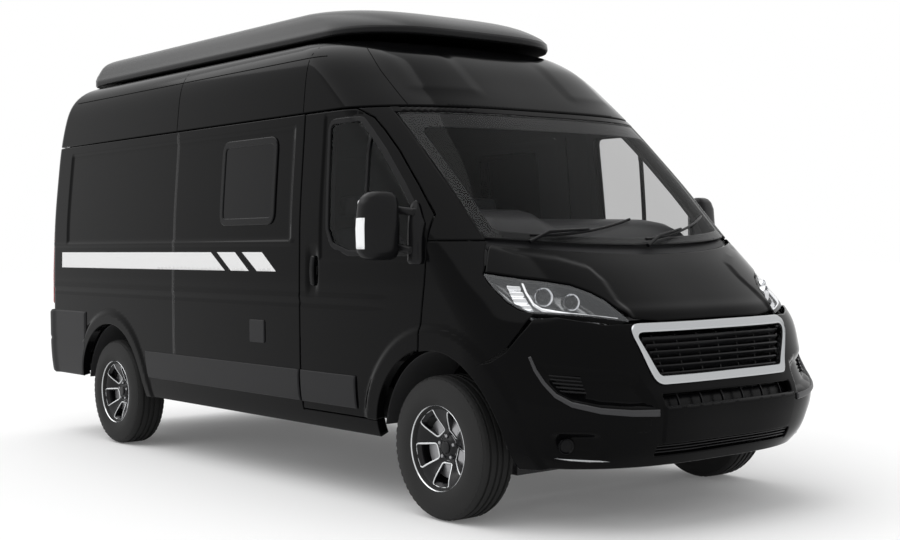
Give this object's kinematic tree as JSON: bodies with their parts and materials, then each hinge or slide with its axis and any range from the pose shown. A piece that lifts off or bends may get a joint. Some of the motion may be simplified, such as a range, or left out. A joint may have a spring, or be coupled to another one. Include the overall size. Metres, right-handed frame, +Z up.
{
  "type": "camper van",
  "caption": "High-roof panel van camper with a lifting roof shell, hinged cab doors, rear doors and bonnet, steered front wheels and free-turning wheels.",
  "frame": {"origin": "on the ground, at the centre of the bounding box seen from above", "axes": "+X forward, +Y to the left, +Z up"},
  "size_m": [5.413, 2.5062, 2.64],
  "materials": {
    "paint": "gloss black paint",
    "shell": "satin dark grey moulded shell",
    "plastic": "grained dark grey plastic",
    "trim": "soft matte dark trim",
    "glass": "clear green-grey glass",
    "tinted_glass": "dark tinted glass",
    "chrome": "satin chrome",
    "lamp": "clear lamp unit",
    "red_lens": "red lamp lens",
    "alloy": "gloss black alloy",
    "tyre": "matte black rubber",
    "iron": "matte dark casting",
    "steel": "dull steel",
    "underbody": "matte underseal",
    "upholstery": "woven dark grey cloth",
    "wood": "light wood decor board",
    "canvas": "grey tent canvas"
  },
  "bodies": {
    "body": {"floor_pan": "underbody", "side_right": "paint", "side_left": "paint", "sliding_door": "paint", "roof": "paint", "windscreen": "glass", "cab_frame": "paint", "wings": "paint", "bumper_front": "paint", "grille": "chrome", "headlamps": "lamp", "bumper_rear": "plastic", "tail_lamps": "red_lens", "side_windows": "tinted_glass", "side_mouldings": "plastic", "front_axle": "iron", "rear_axle": "iron", "engine": "iron", "exhaust": "steel", "fuel_tank": "plastic", "dashboard": "trim", "steering_wheel": "trim", "seats": "upholstery", "furniture": "wood", "tent_canvas": "canvas"},
    "door_right": {"door_right": "paint", "door_glass_right": "glass", "mirror_right": "plastic"},
    "door_left": {"door_left": "paint", "door_glass_left": "glass", "mirror_left": "plastic"},
    "rear_door_right": {"rear_door_right": "paint", "rear_glass_right": "tinted_glass"},
    "rear_door_left": {"rear_door_left": "paint", "rear_glass_left": "tinted_glass"},
    "bonnet": {"bonnet": "paint"},
    "pop_top": {"pop_top": "shell"},
    "knuckle_right": {"knuckle_right": "iron"},
    "knuckle_left": {"knuckle_left": "iron"},
    "wheel_front_right": {"rim_front_right": "alloy", "tyre_front_right": "tyre"},
    "wheel_front_left": {"rim_front_left": "alloy", "tyre_front_left": "tyre"},
    "wheel_rear_right": {"rim_rear_right": "alloy", "tyre_rear_right": "tyre"},
    "wheel_rear_left": {"rim_rear_left": "alloy", "tyre_rear_left": "tyre"}
  },
  "joints": [
    {"name": "door_right_hinge", "type": "hinge", "parent": "body", "child": "door_right", "pos_m": [1.5915, -0.991, 1], "axis": [0, 0, 1], "range_deg": [0, 68]},
    {"name": "door_left_hinge", "type": "hinge", "parent": "body", "child": "door_left", "pos_m": [1.5915, 0.991, 1], "axis": [0, 0, -1], "range_deg": [0, 68]},
    {"name": "rear_door_right_hinge", "type": "hinge", "parent": "body", "child": "rear_door_right", "pos_m": [-2.6695, -0.866, 1.015], "axis": [0, 0, 1], "range_deg": [0, 95]},
    {"name": "rear_door_left_hinge", "type": "hinge", "parent": "body", "child": "rear_door_left", "pos_m": [-2.6695, 0.866, 1.015], "axis": [0, 0, -1], "range_deg": [0, 95]},
    {"name": "bonnet_hinge", "type": "hinge", "parent": "body", "child": "bonnet", "pos_m": [1.9615, 0, 1.285], "axis": [0, -1, 0], "range_deg": [0, 55]},
    {"name": "pop_top_hinge", "type": "hinge", "parent": "body", "child": "pop_top", "pos_m": [-2.4735, 0, 2.43], "axis": [0, -1, 0], "range_deg": [0, 18]},
    {"name": "steer_right", "type": "hinge", "parent": "body", "child": "knuckle_right", "pos_m": [1.7585, -0.765, 0.341], "axis": [0, 0, 1], "range_deg": [-35, 35]},
    {"name": "steer_left", "type": "hinge", "parent": "body", "child": "knuckle_left", "pos_m": [1.7585, 0.765, 0.341], "axis": [0, 0, 1], "range_deg": [-35, 35]},
    {"name": "wheel_front_right_spin", "type": "hinge", "parent": "knuckle_right", "child": "wheel_front_right", "pos_m": [1.7585, -0.905, 0.341], "axis": [0, 1, 0], "continuous": true},
    {"name": "wheel_front_left_spin", "type": "hinge", "parent": "knuckle_left", "child": "wheel_front_left", "pos_m": [1.7585, 0.905, 0.341], "axis": [0, 1, 0], "continuous": true},
    {"name": "wheel_rear_right_spin", "type": "hinge", "parent": "body", "child": "wheel_rear_right", "pos_m": [-1.6915, -0.895, 0.341], "axis": [0, 1, 0], "continuous": true},
    {"name": "wheel_rear_left_spin", "type": "hinge", "parent": "body", "child": "wheel_rear_left", "pos_m": [-1.6915, 0.895, 0.341], "axis": [0, 1, 0], "continuous": true}
  ],
  "couplings": [
    {"joint": "steer_left", "follows": "steer_right", "ratio": 1}
  ]
}
